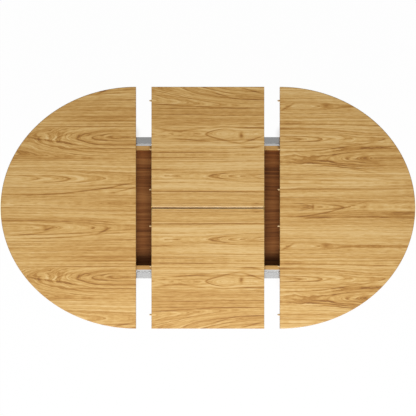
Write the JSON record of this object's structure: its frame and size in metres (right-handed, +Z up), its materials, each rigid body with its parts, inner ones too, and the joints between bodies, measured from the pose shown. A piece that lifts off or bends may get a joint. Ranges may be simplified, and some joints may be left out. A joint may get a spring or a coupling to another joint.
{
  "type": "extending dining table",
  "caption": "Oval dining table whose half tops pull apart on telescopic slides over a leaf tray, with a folding leaf laid between them, on splayed round legs.",
  "frame": {"origin": "on the floor under the middle of the leaf", "axes": "+X along the pull of the right half top, +Y to the rear (the top of the picture), +Z up"},
  "size_m": [1.838, 1.072, 0.75],
  "materials": {
    "oak_top": "clear satin lacquer, grain along the pull",
    "oak_frame": "oiled, grain along the board",
    "oak_base": "clear satin lacquer, grain along the leg",
    "tray_panel": "brown stained veneer",
    "peg_wood": "bare turned beech",
    "slide_aluminium": "brushed extrusion",
    "hinge_brass": "brushed",
    "screw_steel": "zinc plated",
    "stop_nylon": "moulded",
    "glide_nylon": "moulded",
    "foot_plastic": "moulded"
  },
  "bodies": {
    "frame": {"bearer_screws": "screw_steel", "frame_screws": "screw_steel", "front_rail": "oak_frame", "front_track": "slide_aluminium", "left_bearer": "oak_base", "left_end_rail": "oak_frame", "left_front_foot": "foot_plastic", "left_front_leg": "oak_base", "left_rear_foot": "foot_plastic", "left_rear_leg": "oak_base", "rail_glides": "glide_nylon", "rear_rail": "oak_frame", "rear_track": "slide_aluminium", "right_bearer": "oak_base", "right_end_rail": "oak_frame", "right_front_foot": "foot_plastic", "right_front_leg": "oak_base", "right_rear_foot": "foot_plastic", "right_rear_leg": "oak_base", "track_screws": "screw_steel", "track_stops": "stop_nylon", "tray_floor": "tray_panel"},
    "left_top": {"left_carrier_screws": "screw_steel", "left_carrier_stops": "stop_nylon", "left_front_carrier": "slide_aluminium", "left_rear_carrier": "slide_aluminium", "left_top": "oak_top"},
    "right_top": {"right_carrier_screws": "screw_steel", "right_carrier_stops": "stop_nylon", "right_front_carrier": "slide_aluminium", "right_rear_carrier": "slide_aluminium", "right_top": "oak_top", "right_top_pegs": "peg_wood"},
    "left_runners": {"left_front_runner": "slide_aluminium", "left_rear_runner": "slide_aluminium", "left_runner_stops": "stop_nylon"},
    "right_runners": {"right_front_runner": "slide_aluminium", "right_rear_runner": "slide_aluminium", "right_runner_stops": "stop_nylon"},
    "leaf_rear": {"leaf_rear": "oak_top", "leaf_rear_hinge_plates": "hinge_brass", "leaf_rear_hinge_screws": "hinge_brass", "leaf_rear_pegs": "peg_wood"},
    "leaf_links": {"hinge_links": "hinge_brass", "hinge_pins": "hinge_brass"},
    "leaf_front": {"leaf_front": "oak_top", "leaf_front_hinge_plates": "hinge_brass", "leaf_front_hinge_screws": "hinge_brass", "leaf_front_pegs": "peg_wood"}
  },
  "joints": [
    {"name": "left_top_slide", "type": "slide", "parent": "frame", "child": "left_top", "axis": [1, 0, 0], "range_m": [0, 0.0685]},
    {"name": "left_runner_slide", "type": "slide", "parent": "frame", "child": "left_runners", "axis": [1, 0, 0], "range_m": [0, 0.03425]},
    {"name": "right_top_slide", "type": "slide", "parent": "frame", "child": "right_top", "axis": [-1, 0, 0], "range_m": [0, 0.0685]},
    {"name": "right_runner_slide", "type": "slide", "parent": "frame", "child": "right_runners", "axis": [-1, 0, 0], "range_m": [0, 0.03425]},
    {"name": "leaf_lift", "type": "slide", "parent": "frame", "child": "leaf_rear", "axis": [0, 0, 1], "range_m": [0, 0.15]},
    {"name": "leaf_link_turn", "type": "hinge", "parent": "leaf_rear", "child": "leaf_links", "pos_m": [0, 0.00525, 0.745], "axis": [-1, 0, 0], "range_deg": [0, 90]},
    {"name": "leaf_fold", "type": "hinge", "parent": "leaf_links", "child": "leaf_front", "pos_m": [0, -0.00525, 0.745], "axis": [-1, 0, 0], "range_deg": [0, 90]}
  ],
  "couplings": [
    {"joint": "left_runner_slide", "follows": "left_top_slide", "ratio": 0.5},
    {"joint": "right_runner_slide", "follows": "right_top_slide", "ratio": 0.5}
  ]
}
